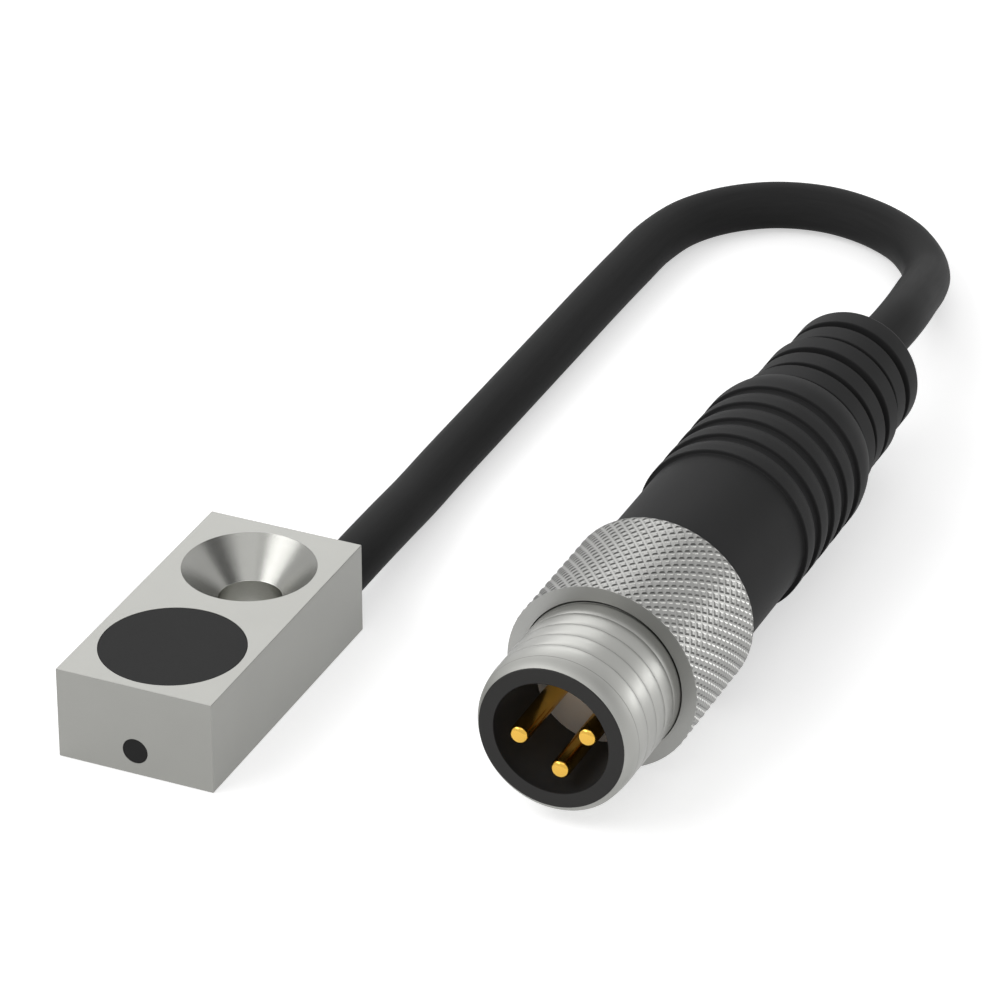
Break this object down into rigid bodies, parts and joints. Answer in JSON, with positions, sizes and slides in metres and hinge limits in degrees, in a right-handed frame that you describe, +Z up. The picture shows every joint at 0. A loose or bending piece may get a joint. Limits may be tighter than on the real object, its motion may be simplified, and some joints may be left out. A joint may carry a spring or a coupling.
{
  "type": "inductive proximity switch",
  "caption": "Flat metal proximity sensor block with a flush round sensing face and a countersunk hole, on a thin lead ending in a moulded plug with a knurled screw coupling.",
  "frame": {"origin": "axis of the fixing hole, on the plane of the block's base", "axes": "+Z up out of the sensing face, +Y along the block from the sensing end to the cable end"},
  "size_m": [0.028, 0.0657, 0.0095],
  "materials": {
    "satin_metal": "satin nickel plating",
    "coupling_metal": "bead-blasted nickel plating",
    "black_plastic": "matte",
    "grip_black": "soft matte",
    "cable_black": "matte sheath",
    "grey_plastic": "matte",
    "natural_plastic": "satin",
    "gold": "gold plating",
    "spring_steel": "plain",
    "ferrite": "sintered",
    "copper": "enamelled wire",
    "board_green": "solder mask",
    "chip_black": "matte",
    "passive_tan": "ceramic",
    "resin": "cast resin",
    "lead_brown": "satin",
    "lead_black": "satin",
    "lead_blue": "satin"
  },
  "bodies": {
    "root": {"housing": "satin_metal", "sensing_cap": "black_plastic", "ferrite_core": "ferrite", "coil_bobbin": "natural_plastic", "coil_winding": "copper", "circuit_board": "board_green", "oscillator_chip": "chip_black", "output_driver": "chip_black", "board_passives": "passive_tan", "resin_fill": "resin", "filler_plug": "resin", "cable_ferrule": "satin_metal", "head_lead_brown": "lead_brown", "head_lead_black": "lead_black", "head_lead_blue": "lead_blue", "cable": "cable_black", "grip": "grip_black", "inner_mould": "natural_plastic", "plug_lead_brown": "lead_brown", "plug_lead_black": "lead_black", "plug_lead_blue": "lead_blue", "contact_carrier": "black_plastic", "contact_holder": "grey_plastic", "pin_brown": "gold", "pin_black": "gold", "pin_blue": "gold", "retaining_ring": "spring_steel"},
    "coupling": {"threaded_sleeve": "coupling_metal", "knurled_ring": "coupling_metal"}
  },
  "joints": [
    {"name": "coupling_turn", "type": "hinge", "parent": "root", "child": "coupling", "pos_m": [0.0193, -0.004, 0.00475], "axis": [0, 1, 0], "continuous": true}
  ]
}
